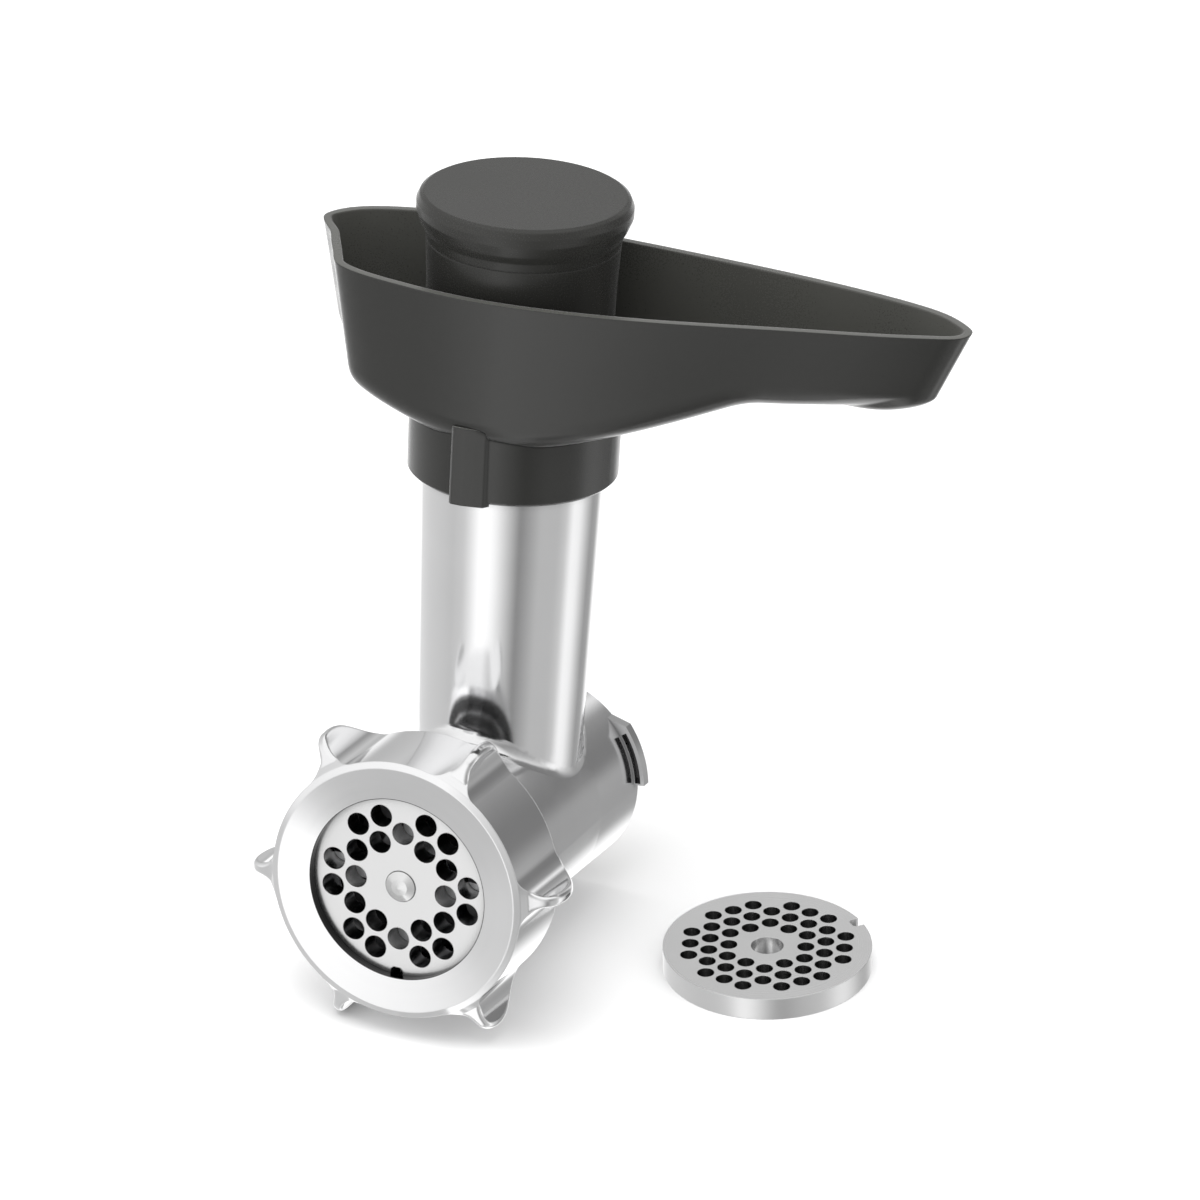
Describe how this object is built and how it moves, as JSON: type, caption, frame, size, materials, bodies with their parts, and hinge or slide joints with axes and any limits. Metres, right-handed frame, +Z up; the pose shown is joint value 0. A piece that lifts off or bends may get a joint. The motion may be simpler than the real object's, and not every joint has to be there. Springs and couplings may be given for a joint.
{
  "type": "meat grinder attachment",
  "caption": "Leaning meat mincing head with a screw-on lobed ring nut, perforated disc, auger, tall feed tube, dark teardrop tray and pusher, and a spare disc beside it.",
  "frame": {"origin": "centre of the footprint box on the floor, under the grinder and the spare disc", "axes": "+Z up from the floor, -Y the way the ring nut faces (the barrel itself leans back from it), +X towards the tray's long end"},
  "size_m": [0.1766, 0.1164, 0.2051],
  "materials": {
    "cast_aluminium": "satin die-cast, ground",
    "polished_aluminium": "polished",
    "plate_steel": "fine-ground",
    "blade_steel": "ground",
    "auger_aluminium": "as cast",
    "shaft_steel": "turned",
    "bearing_plastic": "smooth",
    "seal_rubber": "matt",
    "coupling_plastic": "smooth",
    "screw_steel": "plain",
    "tray_plastic": "satin, fine grain",
    "pusher_plastic": "satin, fine grain"
  },
  "bodies": {
    "housing": {"grinder_body": "cast_aluminium", "feed_tube": "cast_aluminium", "plate_key": "shaft_steel", "bearing_bush": "bearing_plastic", "shaft_seal": "seal_rubber"},
    "screw_feed": {"auger": "auger_aluminium", "auger_rear": "auger_aluminium", "drive_shaft": "shaft_steel", "auger_spindle": "shaft_steel", "cross_blade": "blade_steel", "thrust_washer": "bearing_plastic", "drive_coupling": "coupling_plastic", "coupling_screw": "screw_steel"},
    "disc": {"cutting_plate": "plate_steel"},
    "nut": {"ring_nut": "polished_aluminium"},
    "tray": {"hopper_tray": "tray_plastic", "tray_collar": "tray_plastic"},
    "pusher": {"pusher_body": "pusher_plastic", "pusher_cap": "pusher_plastic"},
    "spare": {"fine_plate": "plate_steel"}
  },
  "joints": [
    {"name": "auger_spin", "type": "hinge", "parent": "housing", "child": "screw_feed", "pos_m": [-0.02984, -0.01063, 0.03545], "axis": [0, 0.9906, -0.1371], "continuous": true},
    {"name": "disc_travel", "type": "slide", "parent": "housing", "child": "disc", "axis": [0, -0.9906, 0.1371], "range_m": [0, 0.024]},
    {"name": "nut_turn", "type": "hinge", "parent": "disc", "child": "nut", "pos_m": [-0.02984, -0.04133, 0.0397], "axis": [0, -0.9906, 0.1371], "range_deg": [0, 2160]},
    {"name": "tray_lift", "type": "slide", "parent": "housing", "child": "tray", "axis": [0, 0.1371, 0.9906], "range_m": [0, 0.06]},
    {"name": "pusher_lift", "type": "slide", "parent": "tray", "child": "pusher", "axis": [0, 0.1371, 0.9906], "range_m": [0, 0.13]},
    {"name": "spare_lift", "type": "slide", "parent": "housing", "child": "spare", "axis": [0, 0, 1], "range_m": [0, 0.05]}
  ],
  "couplings": [
    {"joint": "disc_travel", "follows": "nut_turn", "m_per_rad": 0.00063662}
  ]
}
